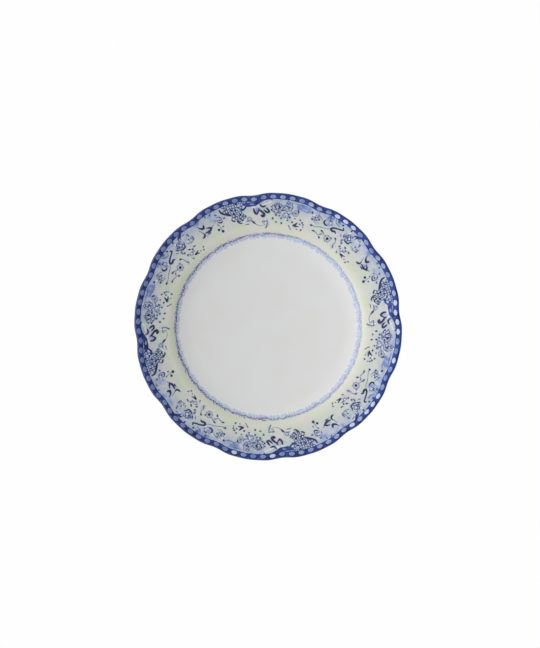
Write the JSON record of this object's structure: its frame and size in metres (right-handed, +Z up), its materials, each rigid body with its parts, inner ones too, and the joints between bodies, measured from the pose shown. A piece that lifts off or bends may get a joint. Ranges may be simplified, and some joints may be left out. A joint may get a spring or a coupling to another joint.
{
  "type": "dinner plate",
  "caption": "Round china dinner plate with a dished well, a foot ring, and a broad cream rim with a scalloped cobalt edge and a blue floral border.",
  "frame": {"origin": "where the plate's axis meets the table it stands on, at the centre of the foot ring's tread", "axes": "+Z up along the plate's axis, away from the table; +X through a notch of the scalloped edge"},
  "size_m": [0.2662, 0.2662, 0.0258],
  "materials": {
    "bare_china": "matt, unglazed fired china, seen on the tread of the foot ring",
    "white_glaze": "glossy clear glaze over white china",
    "cream_enamel": "glossy cream ground colour",
    "cobalt_enamel": "glossy cobalt blue, slightly mottled",
    "pale_blue_enamel": "glossy pale blue enamel, slightly raised",
    "blue_lace_print": "glossy blue and lavender line print",
    "blue_floral_print": "glossy cobalt transfer print with pale washes on cream"
  },
  "bodies": {
    "root": {"biscuit_body": "bare_china", "face_glaze": "white_glaze", "back_glaze": "white_glaze", "cream_ground": "cream_enamel", "edge_band": "cobalt_enamel", "edge_ovals": "pale_blue_enamel", "verge_lace": "blue_lace_print", "border_print_1": "blue_floral_print", "border_print_2": "blue_floral_print", "border_print_3": "blue_floral_print", "border_print_4": "blue_floral_print"}
  },
  "joints": []
}
